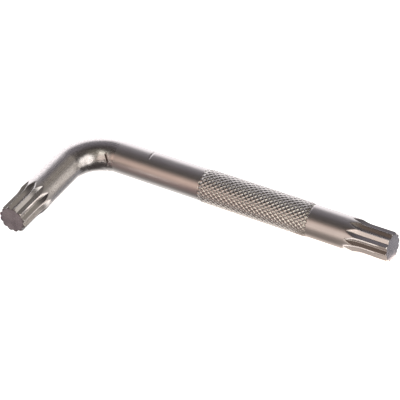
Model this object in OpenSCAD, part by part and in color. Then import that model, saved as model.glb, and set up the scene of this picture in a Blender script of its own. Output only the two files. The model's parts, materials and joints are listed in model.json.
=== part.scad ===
// Spline key: a round steel bar bent to an L, with a twelve-point spline on both
// ends and a rolled diamond knurl on the long arm.
// The key lies flat: the long arm runs along +X and the short arm along -Y.
// The origin is under the middle of its outline, on the surface that it lies on.
// The bar is one forging. Each formed stretch of it is a solid of its own here,
// and neighbours meet on flat faces square to the bar.

/* [Bar] */
// Diameter of the plain bar
bar_d = 11; // [10:0.1:13]
// Length of the long arm, from the outside of the short arm to the tip
long_l = 119.6; // [100:0.1:180]
// Length of the short arm, from the outside of the long arm to the tip
short_l = 51.3; // [42:0.1:80]
// Radius of the bend, on the bar's centre line
bend_r = 13.7; // [10:0.1:18]

/* [Splined ends] */
// Diameter over the points of the spline
spline_d = 10; // [9:0.1:10.8]
// Diameter across the roots of the grooves
root_d = 8.3; // [7.4:0.1:9]
// Number of points
points = 12; // [8:1:14]
// Angle between the two flanks of a groove
groove_angle = 120; // [90:1:130]
// Length from the tip to the points of the grooves on the bar
spline_l = 14.9; // [10:0.1:18]
// Length over which a groove rises from its root to the surface of the bar
runout_l = 6.8; // [3:0.1:8]
// Chamfer round the end face
tip_chamfer = 0.5; // [0.2:0.05:0.9]
// Plain bar behind the points of the grooves
collar_l = 1; // [0.5:0.1:3]
// Turn of the long spline's first groove out of the plane of the bend
long_turn = 14; // [0:1:30]
// Turn of the short spline's first groove out of the plane of the bend
short_turn = 8; // [0:1:30]

/* [Mark of the bending die] */
// Depth of the mark on the inside of the bend
mark_depth = 0.1; // [0.05:0.05:0.8]
// Angle round the bend where the mark starts, from the long arm
mark_start = 19; // [4:1:30]
// Angle of the bend that the mark covers
mark_angle = 46; // [20:1:56]
// Angle round the bar that the mark reaches to, above and below the bend's plane
mark_reach = 55; // [45:1:80]

/* [Knurl] */
// Length of the knurl
knurl_l = 39.7; // [20:0.1:48]
// Plain bar between the knurl and the collar of the long spline
front_l = 12.7; // [5:0.1:20]
// Height of the knurl's points above the bar
knurl_rise = 0.27; // [0.1:0.01:0.6]
// Depth of the knurl's grooves below the bar
knurl_sink = 0.05; // [0.02:0.01:0.5]
// Length of one diamond along the bar
knurl_pitch = 1.86; // [1.4:0.01:3]
// Number of diamonds round the bar
knurl_count = 22; // [16:2:28]

/* [Hidden] */
$fn = 96;
steel = "#a89c95";
bare_steel = "#8d8581";

// Radii and the tips' distances from the corner where the arms' centre lines cross
bar_r = bar_d / 2;
spline_r = spline_d / 2;
root_r = root_d / 2;
knurl_r = bar_r + knurl_rise;
long_tip = long_l - bar_r;
short_tip = short_l - bar_r;

// Stretches along each arm, measured from that corner
end_l = spline_l + collar_l;
front_start = long_tip - end_l - front_l;
knurl_start = front_start - knurl_l;

// Groove form: its depth in the plain bar sets the radius of the run-out
bar_depth = bar_r - root_r;
runout_r = (runout_l * runout_l + bar_depth * bar_depth) / (2 * bar_depth);
cut_h = 2 * bar_depth;
cut_w = cut_h * tan(groove_angle / 2);
full_depth_at = collar_l + runout_l;
tip_over = 1;

// Neighbouring grooves meet in a sharp ridge, and the flat of the spline's point is
// cut that far below it all the way up the run-out, which narrows the bar
ridge_ratio = 1 / (cos(180 / points) - sin(180 / points) / tan(groove_angle / 2));
flat_cut = max(0.05, ridge_ratio * root_r - spline_r);
point_r = min(bar_r, ridge_ratio * root_r - flat_cut);
neck_rise = max(0, (bar_r + flat_cut) / ridge_ratio - root_r);
neck_l = sqrt(2 * runout_r * neck_rise - neck_rise * neck_rise);
neck_steps = 8;

// Seat of the bending die: a round a little wider than the bar, cutting it over the reach
seat_off = mark_depth * (bar_d - mark_depth) / (2 * (bar_r * (1 - cos(mark_reach)) - mark_depth));
seat_r = bar_r + seat_off - mark_depth;

// Lattice of the knurl: points and pits alternate on half steps
knurl_cols = 2 * knurl_count;
knurl_rows = 2 * round(knurl_l / knurl_pitch);

// Middle of the outline, which the origin lies under
mid_x = long_l / 2 - bar_r;
mid_y = (knurl_r - short_tip) / 2;

// Moves a shape from the corner of the centre lines to the key's own origin
module on_table() {
  translate([-mid_x, -mid_y, knurl_r]) children();
}

// Stands a shape that points along +Z on the long arm, at a distance from the corner
module on_long_arm(distance) {
  on_table() translate([distance, 0, 0]) rotate([0, 90, 0]) children();
}

// Stands a shape that points along +Z on the short arm, at a distance from the corner
module on_short_arm(distance) {
  on_table() rotate([0, 0, -90]) translate([distance, 0, 0]) rotate([0, 90, 0]) children();
}

// End of the bar over its points: collar, narrowing along the run-out, chamfered tip
module spline_blank() {
  function bottom_r(below) = root_r + runout_r - sqrt(runout_r * runout_r - below * below);
  narrowing = [
    for (i = [0 : neck_steps])
      let (below = neck_l * (1 - i / neck_steps))
        [min(bar_r, ridge_ratio * bottom_r(below) - flat_cut), full_depth_at - below]
  ];
  rotate_extrude() polygon(concat(
    [[0, 0], [bar_r, 0]],
    neck_l > 0.1 ? narrowing : [],
    [[point_r, end_l - tip_chamfer], [point_r - tip_chamfer, end_l], [0, end_l]]
  ));
}

// One groove: a straight vee from the tip that swings out of the bar on an arc
module groove() {
  translate([0, 0, full_depth_at])
    linear_extrude(height = end_l - full_depth_at + tip_over)
      polygon([[root_r, 0], [root_r + cut_h, -cut_w], [root_r + cut_h, cut_w]]);
  translate([root_r + runout_r, 0, full_depth_at])
    rotate([90, 0, 0])
      rotate([0, 0, 180])
        rotate_extrude(angle = 90)
          polygon([[runout_r, 0], [runout_r - cut_h, -cut_w], [runout_r - cut_h, cut_w]]);
}

// Splined end, from its collar at the bottom to its tip. The blank's own seam is kept
// on the flank of a groove, whatever the turn
module splined_end(turn) {
  rotate([0, 0, turn]) difference() {
    rotate([0, 0, -90 / points]) spline_blank();
    for (i = [0 : points - 1])
      rotate([0, 0, 360 * i / points]) groove();
  }
}

// Plain round stretch of the bar
module plain_bar(length) {
  cylinder(r = bar_r, h = length);
}

module short_spline() {
  color(bare_steel) on_short_arm(short_tip - end_l) splined_end(short_turn);
}

module short_shank() {
  color(steel) on_short_arm(bend_r) plain_bar(short_tip - end_l - bend_r);
}

// Quarter turn of the bar, less the crescent that the die pressed in on its inside
module bend() {
  color(steel) on_table() translate([bend_r, -bend_r, 0]) difference() {
    rotate([0, 0, 90])
      rotate_extrude(angle = 90) translate([bend_r, 0]) circle(r = bar_r);
    rotate([0, 0, 90 + mark_start])
      rotate_extrude(angle = mark_angle) difference() {
        translate([bend_r - bar_r - mark_depth, -bar_r]) square([bar_r + mark_depth, bar_d]);
        translate([bend_r + seat_off, 0]) circle(r = seat_r);
      }
  }
}

module long_shank() {
  color(steel) on_long_arm(bend_r) plain_bar(knurl_start - bend_r);
}

// Diamond knurl: four-sided points between two crossing sets of helical grooves
module knurled_grip() {
  function knurl_radius(i, j) =
    j == 0 || j == knurl_rows ? bar_r
    : (i + j) % 2 == 1 ? knurl_r
    : bar_r - knurl_sink;
  function corner(i, j) = j * knurl_cols + i % knurl_cols;
  rings = [
    for (j = [0 : knurl_rows], i = [0 : knurl_cols - 1])
      let (a = 360 * i / knurl_cols, r = knurl_radius(i, j))
        [r * cos(a), r * sin(a), knurl_l * j / knurl_rows]
  ];
  flanks = [
    for (j = [0 : knurl_rows - 1], i = [0 : knurl_cols - 1])
      let (a = corner(i, j), b = corner(i + 1, j), c = corner(i + 1, j + 1), d = corner(i, j + 1))
        each (i + j) % 2 == 0 ? [[a, c, b], [a, d, c]] : [[a, d, b], [b, d, c]]
  ];
  bottom = [for (i = [0 : knurl_cols - 1]) i];
  top = [for (i = [knurl_cols - 1 : -1 : 0]) corner(i, knurl_rows)];
  color(steel) on_long_arm(knurl_start)
    polyhedron(points = rings, faces = concat(flanks, [bottom, top]), convexity = 4);
}

module front_shank() {
  color(steel) on_long_arm(front_start) plain_bar(front_l);
}

module long_spline() {
  color(bare_steel) on_long_arm(long_tip - end_l) splined_end(long_turn);
}

short_spline();
short_shank();
bend();
long_shank();
knurled_grip();
front_shank();
long_spline();
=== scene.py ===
import json
import math

import bpy
import numpy as np
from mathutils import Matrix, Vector


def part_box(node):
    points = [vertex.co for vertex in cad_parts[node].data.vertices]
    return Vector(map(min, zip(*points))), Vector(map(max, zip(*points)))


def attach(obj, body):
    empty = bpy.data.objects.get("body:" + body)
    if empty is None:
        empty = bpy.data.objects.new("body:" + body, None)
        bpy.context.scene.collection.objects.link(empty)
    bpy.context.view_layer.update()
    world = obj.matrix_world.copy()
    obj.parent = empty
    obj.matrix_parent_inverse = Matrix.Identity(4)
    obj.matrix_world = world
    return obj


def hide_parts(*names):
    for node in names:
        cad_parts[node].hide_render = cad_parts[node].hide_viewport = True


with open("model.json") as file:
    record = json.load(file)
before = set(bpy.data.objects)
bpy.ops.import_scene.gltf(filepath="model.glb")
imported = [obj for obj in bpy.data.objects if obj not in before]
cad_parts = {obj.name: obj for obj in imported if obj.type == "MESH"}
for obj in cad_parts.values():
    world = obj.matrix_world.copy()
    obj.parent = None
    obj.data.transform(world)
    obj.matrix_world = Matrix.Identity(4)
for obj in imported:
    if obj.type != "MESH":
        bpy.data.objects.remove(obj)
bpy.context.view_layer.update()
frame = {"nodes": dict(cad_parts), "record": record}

mm = 0.001
fullTurn = 2 * math.pi
sharpFrom = 38  # degrees between two faces from which their edge stays sharp
print("frame loaded:", len(frame["nodes"]), "nodes")


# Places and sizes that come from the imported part

mounts = {m["name"]: m for m in frame["record"]["mounts"]}
longTip = np.array(mounts["long_drive"]["pos_m"])
shortTip = np.array(mounts["short_drive"]["pos_m"])
barRadius = mounts["front_shank"]["dims"]["r_mm"] * mm
axisHeight = longTip[2]
corner = np.array([shortTip[0], longTip[1], axisHeight])  # where the arms' centre lines cross
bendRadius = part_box("bend")[1].x - corner[0]
bendCentre = corner + np.array([bendRadius, -bendRadius, 0.0])
bendLength = bendRadius * math.pi / 2


def onLongArm(x):
    return bendLength + x - bendCentre[0]  # length along the bar at a place on the long arm


def onShortArm(y):
    return y - bendCentre[1]  # the same on the short arm, below zero there


def stretch(node):
    # lengths along the bar at which a node starts and ends
    low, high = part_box(node)
    if node == "bend":
        return 0.0, bendLength
    if node.startswith("short"):
        return onShortArm(low.y), onShortArm(high.y)
    return onLongArm(low.x), onLongArm(high.x)


# Shapes

def barFrame(s):
    # centre line of the bar: straight up the short arm, a quarter circle, straight out along the long arm;
    # s is the length along it from the foot of the quarter circle
    turn = np.clip(s / bendRadius, 0, math.pi / 2)
    level = np.zeros_like(turn)
    outward = np.stack([-np.cos(turn), np.sin(turn), level], -1)
    along = np.stack([np.sin(turn), np.cos(turn), level], -1)
    beyond = s - np.clip(s, 0, bendLength)
    centre = bendCentre + bendRadius * outward + beyond[..., None] * along
    return centre, outward


def barPiece(name, s, angle, radius, materials, endRows=0):
    # a point of the skin is the centre line's point at s, plus radius times (cos angle * outward
    # + sin angle * up); rows run along the bar, columns run round it, and one point in the middle
    # closes each end; endRows counts the rows of an end face, below zero where it is the first end
    rows, columns = radius.shape
    angle = np.broadcast_to(angle, radius.shape)
    sGrid = s if s.ndim == 2 else np.broadcast_to(s[:, None], radius.shape)
    sEnds = sGrid[[0, -1]].mean(1)
    centre, outward = barFrame(sGrid)
    skin = centre + (radius * np.cos(angle))[..., None] * outward
    skin[..., 2] += radius * np.sin(angle)
    poles = barFrame(sEnds)[0]
    points = np.concatenate([skin.reshape(-1, 3), poles])
    straight = np.stack([sGrid, radius * np.cos(angle), radius * np.sin(angle)], -1).reshape(-1, 3)
    straightPoles = np.stack([sEnds, [0, 0], [0, 0]], -1)

    here = np.arange(rows * columns).reshape(rows, columns)
    beside = np.roll(here, -1, axis=1)
    quads = np.stack([here[:-1], beside[:-1], beside[1:], here[1:]], -1).reshape(-1, 4)
    first = np.stack([here[0], np.full(columns, len(points) - 2), beside[0]], -1)
    last = np.stack([here[-1], beside[-1], np.full(columns, len(points) - 1)], -1)
    loops = np.concatenate([quads.ravel(), first.ravel(), last.ravel()]).astype(np.int32)
    sizes = np.concatenate([np.full(len(quads), 4), np.full(2 * columns, 3)])
    starts = np.concatenate([[0], np.cumsum(sizes)[:-1]]).astype(np.int32)

    mesh = bpy.data.meshes.new(name)
    mesh.vertices.add(len(points))
    mesh.vertices.foreach_set("co", points.astype(np.float32).ravel())
    mesh.loops.add(len(loops))
    mesh.loops.foreach_set("vertex_index", loops)
    mesh.polygons.add(len(sizes))
    mesh.polygons.foreach_set("loop_start", starts)
    mesh.update(calc_edges=True)
    unbent = mesh.attributes.new("unbentBar", "FLOAT_VECTOR", "POINT")
    unbent.data.foreach_set("vector", np.concatenate([straight, straightPoles]).astype(np.float32).ravel())
    for material in materials:
        mesh.materials.append(material)
    if endRows:
        tipFaces = abs(endRows) * columns
        kinds = np.zeros(len(sizes), np.int32)
        if endRows > 0:
            kinds[len(quads) - tipFaces:len(quads)] = 1
            kinds[-columns:] = 1
        else:
            kinds[:tipFaces] = 1
            kinds[len(quads):len(quads) + columns] = 1
        mesh.polygons.foreach_set("material_index", kinds)
    mesh.polygons.foreach_set("use_smooth", np.ones(len(sizes), bool))
    mesh.set_sharp_from_angle(angle=math.radians(sharpFrom))
    mesh.validate()
    piece = bpy.data.objects.new(name, mesh)
    bpy.context.scene.collection.objects.link(piece)
    return piece


def softLower(a, b, reach):
    # the lower of two heights, with the crossing rounded over the reach
    near = np.clip(1 - np.abs(a - b) / reach, 0, None)
    return np.minimum(a, b) - near * near * reach / 4


def easeStep(x):
    # climbs from 0 to 1 as x does, level at both ends
    x = np.clip(x, 0, 1)
    return x * x * (3 - 2 * x)


def seat(piece, node):
    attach(piece, "root")
    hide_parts(node)
    print(node, len(piece.data.polygons), "faces")


# Materials

def linearColour(hexText):
    parts = np.array([int(hexText[i:i + 2], 16) for i in (1, 3, 5)]) / 255
    linear = np.where(parts <= 0.04045, parts / 12.92, ((parts + 0.055) / 1.055) ** 2.4)
    return (*linear.tolist(), 1.0)


def addNode(tree, kind, settings=None, links=None):
    # settings name properties or input sockets, links give an input socket the output that feeds it
    node = tree.nodes.new(kind)
    for key, value in (settings or {}).items():
        if isinstance(key, str) and hasattr(node, key):
            setattr(node, key, value)
        else:
            node.inputs[key].default_value = value
    for key, source in (links or {}).items():
        tree.links.new(source, node.inputs[key])
    return node


def metalFinish(name, look):
    # plated steel, patterned on the bar as it was before it was bent; sizes in a look are in mm
    material = bpy.data.materials.new(name)
    material.use_nodes = True
    tree = material.node_tree
    shader = tree.nodes["Principled BSDF"]
    shader.inputs["Metallic"].default_value = 1.0
    place = addNode(tree, "ShaderNodeAttribute", {"attribute_name": "unbentBar"}).outputs["Vector"]
    drawn = addNode(tree, "ShaderNodeMapping", {"Scale": (0, 1, 1)}, {"Vector": place})  # unbroken lines
    lines = addNode(
        tree, "ShaderNodeTexNoise",
        {"Scale": 1 / (look["lineWidth"] * mm), "Detail": 2.0, "Roughness": 0.6},
        {"Vector": drawn.outputs["Vector"]})
    cloud = addNode(
        tree, "ShaderNodeTexNoise",
        {"Scale": 1 / (look["cloudSize"] * mm), "Detail": 3.0, "Roughness": 0.55}, {"Vector": place})
    grain = addNode(
        tree, "ShaderNodeTexNoise",
        {"Scale": 1 / (look["grainSize"] * mm), "Detail": 2.0, "Roughness": 0.5}, {"Vector": place})
    colour = addNode(
        tree, "ShaderNodeMix",
        {"data_type": "RGBA", 6: linearColour(look["dark"]), 7: linearColour(look["light"])},
        {0: cloud.outputs["Fac"]}).outputs[2]
    if "speckle" in look:
        # the grain lightens and darkens the plate, and fades out towards the long arm
        more, less = 1 + look["speckle"], 1 - look["speckle"]
        spread = addNode(
            tree, "ShaderNodeMapRange",
            {"From Min": 0.35, "From Max": 0.65, "To Min": less, "To Max": more},
            {"Value": grain.outputs["Fac"]})
        along = addNode(tree, "ShaderNodeSeparateXYZ", None, {0: place})
        bent = addNode(
            tree, "ShaderNodeMapRange", {"From Min": bendLength, "From Max": 0.5 * bendLength},
            {"Value": along.outputs["X"]})
        strength = addNode(
            tree, "ShaderNodeMix", {"data_type": "FLOAT", 2: 1.0},
            {0: bent.outputs["Result"], 3: spread.outputs["Result"]})
        colour = addNode(
            tree, "ShaderNodeVectorMath", {"operation": "SCALE"},
            {0: colour, "Scale": strength.outputs[0]}).outputs["Vector"]
    low, high = look["roughness"]
    rough = addNode(
        tree, "ShaderNodeMapRange", {"From Min": 0.3, "From Max": 0.7, "To Min": low, "To Max": high},
        {"Value": lines.outputs["Fac"]}).outputs["Result"]
    if "byRadius" in look:
        # between the two radii another shade comes in, and the roughness changes by a share
        there = look["byRadius"]
        split = addNode(tree, "ShaderNodeSeparateXYZ", None, {0: place})
        spoke = addNode(
            tree, "ShaderNodeCombineXYZ", None, {"Y": split.outputs["Y"], "Z": split.outputs["Z"]})
        reach = addNode(tree, "ShaderNodeVectorMath", {"operation": "LENGTH"}, {0: spoke.outputs["Vector"]})
        span = {"From Min": there["span"][0] * mm, "From Max": there["span"][1] * mm}
        share = addNode(tree, "ShaderNodeMapRange", span, {"Value": reach.outputs["Value"]})
        colour = addNode(
            tree, "ShaderNodeMix", {"data_type": "RGBA", 7: linearColour(there["colour"])},
            {0: share.outputs["Result"], 6: colour}).outputs[2]
        change = addNode(
            tree, "ShaderNodeMapRange", {**span, "To Min": 1.0, "To Max": there["roughness"]},
            {"Value": reach.outputs["Value"]})
        rough = addNode(
            tree, "ShaderNodeMath", {"operation": "MULTIPLY"},
            {0: rough, 1: change.outputs["Result"]}).outputs["Value"]
    # painted shade: the base colour is mixed towards the crease colour by the crease's painted shade
    if "crease" in look:
        creaseShadeAmount = addNode(tree, "ShaderNodeAttribute", {"attribute_name": "dieCrease"})
        colour = addNode(
            tree, "ShaderNodeMix", {"data_type": "RGBA", 7: linearColour(look["crease"])},
            {0: creaseShadeAmount.outputs["Fac"], 6: colour}).outputs[2]
    tree.links.new(colour, shader.inputs["Base Color"])
    tree.links.new(rough, shader.inputs["Roughness"])
    bump = addNode(
        tree, "ShaderNodeBump", {"Strength": look["grainBump"], "Distance": look["grainDepth"] * mm},
        {"Height": grain.outputs["Fac"]})
    tree.links.new(bump.outputs["Normal"], shader.inputs["Normal"])
    return material


# satin nickel plate on a drawn bar: broad soft reflections, with faint lines along the bar
plainBar = metalFinish("satin nickel plate on drawn bar", {
    "dark": "#c0bab7", "light": "#d2cdca", "roughness": (0.29, 0.36),
    "lineWidth": 0.35, "cloudSize": 7,
    "grainSize": 0.3, "grainBump": 0.05, "grainDepth": 0.02})
# the same on the bend and the short arm: a little shinier, with the grain that bending brings out,
# drawn coarser than it is so that it shows, and with painted shade in the crease that the die's edge left
bentBar = metalFinish("satin nickel plate on bent bar", {
    # crease is the colour of the painted shade in the die's crease
    "dark": "#c0bab7", "light": "#d2cdca", "roughness": (0.22, 0.29), "crease": "#4a3d36",
    "lineWidth": 0.35, "cloudSize": 7,
    "grainSize": 0.4, "grainBump": 0.5, "grainDepth": 0.04, "speckle": 0.22})
# satin nickel plate on a rolled knurl: the same plate, pressed smoother by the rollers
rolledKnurl = metalFinish("satin nickel plate on rolled knurl", {
    "dark": "#bfbab5", "light": "#d4cfca", "roughness": (0.21, 0.28),
    "lineWidth": 0.35, "cloudSize": 5,
    "grainSize": 0.25, "grainBump": 0.06, "grainDepth": 0.02})
# satin nickel plate on cold-formed grooves: smoother below the bar's own skin, where the die pressed it
formedSpline = metalFinish("satin nickel plate on formed spline", {
    "dark": "#c0bab7", "light": "#d2cdca", "roughness": (0.29, 0.36),
    "byRadius": {"span": (5.48, 5.3), "colour": "#cac5c2", "roughness": 0.66},
    "lineWidth": 0.35, "cloudSize": 7,
    "grainSize": 0.3, "grainBump": 0.05, "grainDepth": 0.02})
# nickel plate over a ground end: cloudy, and dark towards the rim
groundEnd = metalFinish("nickel plate on ground end", {
    "dark": "#6f6a72", "light": "#f4eef2", "roughness": (0.24, 0.3),
    "byRadius": {"span": (3.9, 4.7), "colour": "#6f6460", "roughness": 1.0},
    "lineWidth": 0.8, "cloudSize": 4.5,
    "grainSize": 0.5, "grainBump": 0.02, "grainDepth": 0.02})
print("materials made")


# Plain stretches

plainForm = {
    "columns": 192,  # points round the bar
    "rowStep": 0.5,  # mm between rows
}


def plainStretch(node, finish, dent=None):
    # a round bar: the radius is the bar's own, less a dent where one is given
    start, end = stretch(node)
    rows = max(2, int(round((end - start) / (plainForm["rowStep"] * mm))))
    s = np.linspace(start, end, rows + 1)
    angle = np.linspace(0, fullTurn, plainForm["columns"], endpoint=False)
    radius = np.full((len(s), len(angle)), barRadius)
    if dent is not None:
        s, radius = dent(s, angle)
    piece = barPiece(node + "_skin", s, angle, radius, [finish])
    seat(piece, node)


nickForm = {
    "fromCorner": 26.0,  # mm along the long arm
    "width": 0.55,  # mm
    "depth": 0.12,
    "rows": 13,  # rows of points across it
    "middle": 84.0,  # degrees round the bar, from its far side over the top
    "spread": 34.0,  # degrees to each side of the middle
    "fade": 8.0,  # degrees over which it ends
}


def nickedStretch(s, angle):
    # a shallow scratch across the bar: a bell along the bar, fading out round it
    at = onLongArm(corner[0] + nickForm["fromCorner"] * mm)
    width = nickForm["width"] * mm
    near = at + np.linspace(-1.5, 1.5, nickForm["rows"]) * width
    s = np.unique(np.concatenate([s[np.abs(s - at) > 1.6 * width], near]))
    across = np.exp(-((s - at) / (width / 2)) ** 2)
    away = np.degrees(angle) - nickForm["middle"]
    around = easeStep((nickForm["spread"] - np.abs(away)) / nickForm["fade"])
    return s, barRadius - nickForm["depth"] * mm * across[:, None] * around[None, :]


plainStretch("short_shank", bentBar)
plainStretch("long_shank", plainBar, nickedStretch)
plainStretch("front_shank", plainBar)


# Bend

bendForm = {
    "columns": 256,
    "rows": 200,
    "edgeRows": 73,  # rows added at each edge of the die's mark
    "edgeReach": (-0.7, 2.2),  # mm from that edge, towards the long arm
    "swell": 0.25,  # mm by which the inside of the bend is upset
    "swellEnd": 24.0,  # degrees of the bend over which the swell comes and goes
}
markForm = {
    "start": 19.0,  # degrees round the bend from the long arm
    "span": 46.0,
    "reach": 55.0,  # degrees round the bar, above and below the bend's plane
    "depth": 0.1,  # mm
    "longEdge": 2.0,  # mm over which the mark's edge rises, towards the long arm
    "shortEdge": 4.0,
}
# depth, width and wall each hold a value above the bend's plane and one below it
creaseForm = {
    "depth": (0.12, 0.3),  # mm
    "width": (0.5, 0.45),  # mm towards the middle of the mark
    "wall": (0.45, 0.15),  # mm towards the long arm
    "change": 15.0,  # degrees below the plane over which the second value comes in
    "top": 45.0,  # degrees above the plane
    "foot": 65.0,  # degrees below it
    "fade": 12.0,  # degrees over which it ends
    "slant": (-6.0, -2.5),  # degrees of the bend off the mark's edge, at the plane and at the foot
    "slantOver": 40.0,  # degrees round the bar over which the slant comes in
    "dark": (2.0, 45.0),  # degrees above the plane between which the crease gets painted shade
    # how strongly the crease's painted shade comes in
    "darkness": 1.8,
}


def dieMark(s, angle):
    # the die's seat is a round wider than the bar and set off outward, so it cuts a crescent on the inside;
    # its offset follows from the depth and from the angle where the two rounds cross
    depth = markForm["depth"] * mm
    reach = math.radians(markForm["reach"])
    offset = depth * (2 * barRadius - depth) / (2 * (barRadius * (1 - math.cos(reach)) - depth))
    seatRadius = barRadius + offset - depth
    seatSkin = offset * np.cos(angle) + np.sqrt(seatRadius ** 2 - (offset * np.sin(angle)) ** 2)
    crescent = np.clip(barRadius - seatSkin, 0, None)
    fromLong = bendLength - s
    start = math.radians(markForm["start"]) * bendRadius
    end = start + math.radians(markForm["span"]) * bendRadius
    rise = easeStep((fromLong - start) / (markForm["longEdge"] * mm) + 0.5)
    fall = easeStep((end - fromLong) / (markForm["shortEdge"] * mm) + 0.5)
    return crescent[None, :] * (rise * fall)[:, None]


def dieCrease(s, angle):
    # the die's edge leaves a crease: a bell along the bar, on a line that slants off the mark's edge;
    # the first array is its depth, the second the painted shade laid along it
    form = creaseForm
    above = 180 - np.degrees(angle)
    below = easeStep(-above / form["change"])

    def eased(pair):
        return (pair[0] + (pair[1] - pair[0]) * below)[None, :]

    upper, lower = [math.radians(part) * bendRadius for part in form["slant"]]
    slanted = upper * easeStep((form["top"] - above) / form["slantOver"])
    slanted = slanted + (lower - upper) * easeStep(-above / form["slantOver"])
    line = math.radians(markForm["start"]) * bendRadius + slanted
    off = (bendLength - s)[:, None] - line[None, :]
    width = mm * np.where(off > 0, eased(form["width"]), eased(form["wall"]))
    bell = np.exp(-(off / width) ** 2)
    ends = easeStep((form["top"] - above) / form["fade"]) * easeStep((above + form["foot"]) / form["fade"])
    # painted shade along the crease, strongest in the bell and between the two heights round the bar
    low, high = form["dark"]
    shaded = easeStep((above - low) / form["fade"]) * easeStep((high - above) / form["fade"])
    return mm * bell * eased(form["depth"]) * ends, np.clip(form["darkness"] * bell, 0, 1) * shaded


def makeBend():
    # the bar's own round, swollen on the inside by swell * (1 - cos angle) / 2, less the mark and the crease
    markEnds = (markForm["start"], markForm["start"] + markForm["span"])
    edges = [math.radians(90 - turn) * bendRadius for turn in markEnds]
    fine = [edge + np.linspace(*bendForm["edgeReach"], bendForm["edgeRows"]) * mm for edge in edges]
    s = np.unique(np.concatenate([np.linspace(0, bendLength, bendForm["rows"] + 1)] + fine))
    angle = np.linspace(0, fullTurn, bendForm["columns"], endpoint=False)
    turn = np.degrees(s / bendRadius)
    upset = easeStep(np.minimum(turn, 90 - turn) / bendForm["swellEnd"])
    swell = bendForm["swell"] * mm * upset[:, None] * ((1 - np.cos(angle)) / 2)[None, :]
    # the crease's depth, and the painted shade laid along it
    crease, dark = dieCrease(s, angle)
    radius = barRadius + swell - (dieMark(s, angle) + crease)
    piece = barPiece("bend_skin", s, angle, radius, [bentBar])
    # the crease's painted shade goes to the bent bar's material, which darkens by it
    shade = piece.data.attributes.new("dieCrease", "FLOAT", "POINT")
    shade.data.foreach_set("value", np.append(dark.ravel(), [0.0, 0.0]).astype(np.float32))
    seat(piece, "bend")


makeBend()


# Knurl

knurlForm = {
    "pitches": (1.85, 1.90),  # mm along the bar, for the two sets of grooves, whose rollers differ a little
    "count": 21,  # diamonds round the bar
    "shifts": (0.51, 0.77),  # shares of a diamond by which the two sets are turned
    "rise": 0.27,  # mm above the bar
    "grooveDepth": 0.21,  # mm below the points
    "samples": 14,  # points across one diamond
    "crestRound": 3.0,  # 1 for straight flanks, more for a rounder top
    "edgeRound": 0.15,
    "rootRound": 0.03,
    "fade": (0.4, 1.6),  # mm at each end over which the grooves start and the points rise
}


def makeKnurl():
    # two sets of helical vees cross: each is a folded ramp of the angle plus or minus the length,
    # the lower of the two ramps, raised to a power from the top down, is the height of a four-sided point
    start, end = stretch("knurled_grip")
    rows = int((end - start) / (min(knurlForm["pitches"]) * mm) * knurlForm["samples"])
    columns = knurlForm["count"] * knurlForm["samples"]
    s = np.linspace(start, end, rows + 1)
    angle = np.linspace(0, fullTurn, columns, endpoint=False)
    along = s[:, None] - (start + end) / 2
    around = angle[None, :] / fullTurn * knurlForm["count"]
    climbing, falling = [pitch * mm for pitch in knurlForm["pitches"]]
    first, second = knurlForm["shifts"]

    def vee(x):
        fold = np.abs((x + 0.5) % 1.0 - 0.5) * 2
        soft = knurlForm["rootRound"]
        return np.sqrt(fold * fold + soft * soft) - soft

    ramp = softLower(
        vee(around + along / climbing + first),
        vee(around - along / falling + second),
        knurlForm["edgeRound"])
    height = 1 - (1 - ramp / ramp.max()) ** knurlForm["crestRound"]
    fromEnd = np.minimum(s - start, end - s) / mm
    cutting, rising = [easeStep(fromEnd / fade)[:, None] for fade in knurlForm["fade"]]
    raised = knurlForm["rise"] * rising - (1 - height) * knurlForm["grooveDepth"] * cutting
    radius = barRadius + raised * mm
    seat(barPiece("knurled_grip_skin", s, angle, radius, [rolledKnurl]), "knurled_grip")


makeKnurl()


# Splined ends

splineForm = {
    "points": 12,
    "acrossPoints": 10.0,  # mm
    "acrossRoots": 8.3,
    "grooveAngle": 120.0,  # degrees between the flanks
    "longLength": 15.3,  # mm from the tip to the points of the grooves
    "shortLength": 14.9,
    "runOut": 6.8,  # mm over which a groove rises to the bar's skin
    "tipChamfer": 0.4,
    "chamferRound": 0.12,
    "edgeRound": 0.05,
    "rootRound": 0.06,
    "collar": 0.5,  # mm at the far end that never stand proud of the bar
    "longTurn": 14.0,  # degrees that the first groove is turned out of the bend's plane
    "shortTurn": 0.0,
    "longTilt": 7.0,  # degrees by which the long end face leans off square
    "longTiltSide": 120.0,  # degrees round the bar to the side where it is shortest
    "tiltFade": 3.0,  # mm behind the face over which the rows lean with it
}
# where the grid has its points
splineGrid = {
    "rowStep": 0.14,  # mm along the bar
    "chamfer": (0, 0.06, 0.2, 0.5, 0.8, 0.94, 1.0, 1.06, 1.2),  # shares of the chamfer, along the bar
    "wall": (0, 0.04, 0.1, 0.25, 0.45, 0.65, 0.8),  # shares of a groove's wall, from its middle
    "edge": (-2, -1, -0.4, 0, 0.4, 1, 2),  # steps across the rounded edge
    "flat": (0.5, 0.0),  # shares of the flat of a point, from its middle
    "endFace": (0.12, 0.35, 0.6, 0.8, 0.93, 0.98),  # shares of the radius
}


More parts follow.
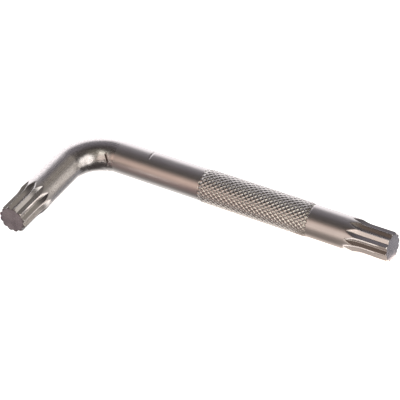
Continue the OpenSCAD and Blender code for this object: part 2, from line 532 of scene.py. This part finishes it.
def splineSkin(length, grooveLength):
    # the blank is the bar, cut a little below the ridge where neighbouring grooves meet; a groove's wall,
    # seen at an angle from its middle, lies at bottom / (cos angle - cot(half groove) * sin angle);
    # the bottom rises out of the bar on an arc, and the skin is the lower of blank and wall
    form = splineForm
    half = math.pi / form["points"]
    cot = 1 / math.tan(math.radians(form["grooveAngle"] / 2))
    root = form["acrossRoots"] / 2 * mm
    ridgeRatio = 1 / (math.cos(half) - cot * math.sin(half))
    flatCut = ridgeRatio * root - form["acrossPoints"] / 2 * mm
    barDepth = barRadius - root
    runOutRadius = ((form["runOut"] * mm) ** 2 + barDepth ** 2) / (2 * barDepth)

    chamfer = form["tipChamfer"] * mm
    rows = int(round(length / (splineGrid["rowStep"] * mm)))
    fromTip = np.unique(np.concatenate([
        chamfer * np.array(splineGrid["chamfer"]), np.linspace(1.5 * chamfer, length, rows)]))
    below = np.clip(fromTip - (grooveLength - form["runOut"]) * mm, 0, None)
    bottom = root + runOutRadius - np.sqrt(runOutRadius ** 2 - below ** 2)
    blank = np.minimum(barRadius, ridgeRatio * bottom - flatCut)
    blank = softLower(blank, blank[0] - chamfer + fromTip, form["chamferRound"] * mm)

    # columns follow the edge between wall and blank, which runs to the groove's middle at its point
    share = np.clip(bottom / blank, 0, 1)
    edge = np.arccos(share / math.hypot(1, cot)) - math.atan(cot)
    edge = np.clip(edge, 0.02 * half, 0.985 * half)  # keeps the columns apart
    step = np.minimum.reduce([form["edgeRound"] * mm / blank, 0.2 * edge, 0.3 * (half - edge)])
    wallPart = (edge - 2 * step)[:, None] * np.array(splineGrid["wall"])
    edgePart = edge[:, None] + step[:, None] * np.array(splineGrid["edge"])
    flatPart = half - (half - edge - 2 * step)[:, None] * np.array(splineGrid["flat"])
    halfGroove = np.concatenate([wallPart, edgePart, flatPart], 1)
    oneGroove = np.concatenate([halfGroove, 2 * half - halfGroove[:, -2:0:-1]], 1)
    starts = np.arange(form["points"]) * 2 * half
    fold = np.tile(np.minimum(oneGroove, 2 * half - oneGroove), (1, form["points"]))
    angle = (starts[None, :, None] + oneGroove[:, None, :]).reshape(len(fromTip), -1)

    rootSoft = form["rootRound"] * mm / root
    slant = np.sqrt(np.sin(fold) ** 2 + rootSoft ** 2) - rootSoft
    wall = bottom[:, None] / (np.cos(fold) - cot * slant)
    radius = softLower(np.broadcast_to(blank[:, None], wall.shape), wall, 2 * form["edgeRound"] * mm)
    inCollar = fromTip[:, None] > length - form["collar"] * mm
    return fromTip, angle, np.where(inCollar, np.minimum(radius, barRadius), radius)


def makeSpline(node, tip, sign):
    # the skin's first row is drawn in to the middle for the end face
    form = splineForm
    arm = "long" if sign > 0 else "short"
    low, high = stretch(node)
    fromTip, angle, radius = splineSkin(high - low, form[arm + "Length"])
    angle = angle + math.radians(form[arm + "Turn"])
    shares = np.array(splineGrid["endFace"])
    endRows = len(shares)
    tipRadius = radius[0].max()
    radius = np.concatenate([shares[:, None] * radius[0], radius])
    angle = np.concatenate([np.repeat(angle[:1], endRows, 0), angle])
    back = np.concatenate([np.zeros(endRows), fromTip])
    s = np.broadcast_to((tip - sign * back)[:, None], radius.shape)
    if sign > 0:
        # the long face is cut a little off square: short on one side of the bar, full length on the other
        lean = math.tan(math.radians(form["longTilt"]))
        short = tipRadius + radius * np.cos(angle - math.radians(form["longTiltSide"]))
        s = s - lean * short * np.clip(1 - back / (form["tiltFade"] * mm), 0, 1)[:, None]
        s, angle, radius = s[::-1], angle[::-1], radius[::-1]
    piece = barPiece(node + "_skin", s, angle, radius, [formedSpline, groundEnd], sign * endRows)
    seat(piece, node)


makeSpline("long_spline", onLongArm(longTip[0]), 1)
makeSpline("short_spline", onShortArm(shortTip[1]), -1)


# Floor, light and camera

floorForm = {
    "half": 3.0,  # metres
    "colour": "#ffffff",
    "roughness": 0.9,
    "glow": 1.0,
}


def makeFloor():
    # a square sheet of paper with a glow of its own, so that it stays white; the metal does not mirror it
    half = floorForm["half"]
    corners = [(-half, -half, 0), (half, -half, 0), (half, half, 0), (-half, half, 0)]
    mesh = bpy.data.meshes.new("floor")
    mesh.from_pydata(corners, [], [(0, 1, 2, 3)])
    floor = bpy.data.objects.new("floor", mesh)
    bpy.context.scene.collection.objects.link(floor)
    material = bpy.data.materials.new("white paper")
    material.use_nodes = True
    shader = material.node_tree.nodes["Principled BSDF"]
    shader.inputs["Base Color"].default_value = linearColour(floorForm["colour"])
    shader.inputs["Roughness"].default_value = floorForm["roughness"]
    shader.inputs["Emission Color"].default_value = linearColour(floorForm["colour"])
    shader.inputs["Emission Strength"].default_value = floorForm["glow"]
    mesh.materials.append(material)
    floor.visible_glossy = False


# places in mm in the key's own frame; front and back give the glow by mm along Y, and the larger holds;
# tip multiplies it by mm along X
cardForm = {
    "outline": ((-31, -130), (60, -130), (110, -20), (80, 12), (62, 16), (58, 50), (26, 50), (26, 12)),
    "height": 0.3,  # mm above the table
    "top": 105,  # mm to which its far edge is bent up
    "colour": "#fff0e7",
    "front": {
        "interpolation_type": "SMOOTHSTEP",
        "From Min": 11.5, "From Max": -50, "To Min": 0.28, "To Max": 1.12},
    "back": {"From Min": 12.5, "From Max": 17.5, "To Min": 0.28, "To Max": 1.4},
    "tip": {"From Min": 47, "From Max": 59, "To Min": 1.0, "To Max": 2.0},
}
# small cards: four corners in mm, along the long arm and up the short arm from where the arms cross,
# and above the table; a card with a clear back shows only its front
smallCards = {
    "light strip before the long arm": {
        "corners": ((14, -6.5, 1), (36, -6.5, 1), (36, -6.5, 11), (14, -6.5, 11)),
        "colour": "#f4efe9", "glow": 1.0, "clearBack": True},
    "white slip under the knurl": {
        "corners": ((47, -7.5, 0.2), (82, -7.5, 0.2), (82, 12, 0.2), (47, 12, 0.2)),
        "colour": "#fff8f4", "glow": 1.3},
    "white slip by the short spline": {
        "corners": ((8, -33, 0.3), (26, -33, 0.3), (26, -27, 0.3), (8, -27, 0.3)),
        "colour": "#fff8f4", "glow": 2.2},
    "white slip under the long spline": {
        "corners": ((97.8, -10, 0.5), (107.5, -10, 0.5), (107.5, -2, 0.5), (97.8, -2, 0.5)),
        "colour": "#fff8f4", "glow": 2.2},
    "dark card over the long spline": {
        "corners": ((98, -18.6, 16.2), (120, -18.6, 16.2), (120, -9.4, 23.8), (98, -9.4, 23.8)),
        "colour": "#6b5b52", "glow": 1.0},
    "dark card over the short spline": {
        "corners": ((-17.7, -40, 20), (0.3, -40, 20), (0.3, -23, 20), (-17.7, -23, 20)),
        "colour": "#6c6864", "glow": 1.0},
}


def addCard(name, points, faces, colour):
    # a glowing card that the camera does not see and only the metal mirrors
    mesh = bpy.data.meshes.new(name)
    mesh.from_pydata([[part * mm for part in point] for point in points], [], faces)
    card = bpy.data.objects.new(name, mesh)
    bpy.context.scene.collection.objects.link(card)
    material = bpy.data.materials.new(name)
    material.use_nodes = True
    mesh.materials.append(material)
    shader = material.node_tree.nodes["Principled BSDF"]
    shader.inputs["Base Color"].default_value = (0, 0, 0, 1)
    shader.inputs["Emission Color"].default_value = linearColour(colour)
    card.visible_camera = False
    card.visible_diffuse = False
    card.visible_shadow = False
    return material.node_tree, shader


def makeBentCard():
    # it lies on the table, dark along the key's shadow, and is bent up at its far edge
    flat = [(x, y, cardForm["height"]) for x, y in cardForm["outline"]]
    upper = [(x, y, cardForm["top"]) for x, y in cardForm["outline"][:2]]
    count = len(flat)
    tree, shader = addCard(
        "bent card", flat + upper, [tuple(range(count)), (0, 1, count + 1, count)], cardForm["colour"])
    place = addNode(tree, "ShaderNodeTexCoord").outputs["Object"]
    place = addNode(tree, "ShaderNodeVectorMath", {"operation": "SCALE", "Scale": 1 / mm}, {0: place})
    split = addNode(tree, "ShaderNodeSeparateXYZ", None, {0: place.outputs["Vector"]})
    front, back, tip = [
        addNode(tree, "ShaderNodeMapRange", cardForm[side], {"Value": split.outputs[axis]}).outputs["Result"]
        for side, axis in (("front", "Y"), ("back", "Y"), ("tip", "X"))]
    glow = addNode(tree, "ShaderNodeMath", {"operation": "MAXIMUM"}, {0: front, 1: back})
    glow = addNode(tree, "ShaderNodeMath", {"operation": "MULTIPLY"}, {0: glow.outputs["Value"], 1: tip})
    tree.links.new(glow.outputs["Value"], shader.inputs["Emission Strength"])


def makeSmallCards():
    for name, form in smallCards.items():
        points = [(corner[0] / mm + x, corner[1] / mm + y, z) for x, y, z in form["corners"]]
        tree, shader = addCard(name, points, [(0, 1, 2, 3)], form["colour"])
        shader.inputs["Emission Strength"].default_value = form["glow"]
        if form.get("clearBack"):
            back = addNode(tree, "ShaderNodeNewGeometry").outputs["Backfacing"]
            clear = addNode(tree, "ShaderNodeMath", {"operation": "SUBTRACT", 0: 1.0}, {1: back})
            tree.links.new(clear.outputs["Value"], shader.inputs["Alpha"])


roomColour = "#4e4a49"
# each screen: degrees from +X towards +Y and up, degrees to its sides and to its top and bottom,
# the share of it that is full before it fades, colour and brightness
screens = {
    "wall on the left": ((178, 20), (40, 36), 0.4, "#fbfaff", 0.9),
    "wall at the front right": ((318, 28), (40, 55), 0.5, "#7d796e", 1.0),
    "table on the left": ((188, -37), (45, 38), 0.4, "#fbf8f6", 0.8),
    "table in front": ((243, -15), (32, 48), 0.2, "#a38e8c", 1.0),
    "table below": ((235, -72), (24, 12), 0.3, "#fbf8f6", 0.7),
    "ceiling behind": ((125, 55), (60, 40), 0.2, "#85828a", 1.0),
    "pale wall behind": ((108, 24), (18, 16), 0.3, "#fbfaff", 1.0),
    "sheet behind": ((139, -12), (65, 62), 0.66, "#fbfaff", 1.8),
    "table behind": ((125, -52), (66, 54), 0.3, "#fffdfc", 1.4),
    "warm wall in front": ((249, 16), (33, 38), 0.1, "#ffe2d4", 1.1),
    "wall behind on the right": ((66, 38), (34, 26), 0.1, "#b0aaa2", 1.0),
    "grey table at the back": ((60, -40), (30, 30), 0.3, "#a6a6aa", 1.0),
    "table on the right": ((46, 0), (26, 40), 0.1, "#f4efe9", 1.2),
    "sheet on the right": ((351, 7), (30, 36), 0.75, "#fffdfa", 1.9),
    "lamp by the camera": ((291, 30), (9, 40), 0.45, "#fffdf2", 2.4),
}


def makeLight():
    # the studio is painted on the sky, and each screen is laid over those before it;
    # a screen ends where (sideways / reach) ^ 2 + (upwards / reach) ^ 2 is 1
    world = bpy.data.worlds.new("studio")
    bpy.context.scene.world = world
    world.use_nodes = True
    tree = world.node_tree
    look = addNode(tree, "ShaderNodeTexCoord").outputs["Generated"]
    sky = addNode(tree, "ShaderNodeRGB").outputs[0]
    sky.default_value = linearColour(roomColour)
    for at, reach, core, colour, glow in screens.values():
        light = [part * glow for part in linearColour(colour)[:3]] + [1.0]
        turn, rise = [math.radians(part) for part in at]
        wide, high = [math.sin(math.radians(part)) for part in reach]
        middle = Vector((math.cos(rise) * math.cos(turn), math.cos(rise) * math.sin(turn), math.sin(rise)))
        side = Vector((-math.sin(turn), math.cos(turn), 0))
        sideways, upwards, forwards = [
            addNode(
                tree, "ShaderNodeVectorMath",
                {"operation": "DOT_PRODUCT", 1: axis}, {0: look}).outputs["Value"]
            for axis in (side / wide, middle.cross(side) / high, middle)]
        flat = addNode(tree, "ShaderNodeCombineXYZ", None, {"X": sideways, "Y": upwards})
        far = addNode(tree, "ShaderNodeVectorMath", {"operation": "LENGTH"}, {0: flat.outputs["Vector"]})
        share = addNode(
            tree, "ShaderNodeMapRange",
            {"interpolation_type": "SMOOTHSTEP", "From Min": 1.0, "From Max": core},
            {"Value": far.outputs["Value"]})
        ahead = addNode(tree, "ShaderNodeMath", {"operation": "GREATER_THAN", 1: 0.0}, {0: forwards})
        share = addNode(
            tree, "ShaderNodeMath", {"operation": "MULTIPLY"},
            {0: share.outputs["Result"], 1: ahead.outputs["Value"]})
        sky = addNode(
            tree, "ShaderNodeMix", {"data_type": "RGBA", 7: light},
            {0: share.outputs["Value"], 6: sky}).outputs[2]
    tree.links.new(sky, tree.nodes["Background"].inputs["Color"])


cameraForm = {
    "lens": 154.4,  # mm
    "sensor": 36,  # mm
    "distance": 561.5,  # mm
    "azimuth": 28.475,  # degrees
    "elevation": 38.37,
    "aim": (48.40, -7.82, 0.0),  # mm from the corner of the centre lines
    "clip": (0.01, 20),  # metres
}


def makeCamera():
    data = bpy.data.cameras.new("camera")
    camera = bpy.data.objects.new("camera", data)
    bpy.context.scene.collection.objects.link(camera)
    data.lens = cameraForm["lens"]
    data.sensor_width = cameraForm["sensor"]
    data.clip_start, data.clip_end = cameraForm["clip"]
    azimuth = math.radians(cameraForm["azimuth"])
    elevation = math.radians(cameraForm["elevation"])
    back = Vector((
        math.sin(azimuth) * math.cos(elevation),
        -math.cos(azimuth) * math.cos(elevation),
        math.sin(elevation)))
    aim = Vector(corner) + Vector(cameraForm["aim"]) * mm
    camera.location = aim + back * cameraForm["distance"] * mm
    camera.rotation_mode = "QUATERNION"
    camera.rotation_quaternion = (-back).to_track_quat("-Z", "Y")
    bpy.context.scene.camera = camera


makeFloor()
makeBentCard()
makeSmallCards()
makeLight()
makeCamera()
bpy.context.scene.view_settings.view_transform = "Standard"
print("floor, light and camera set")
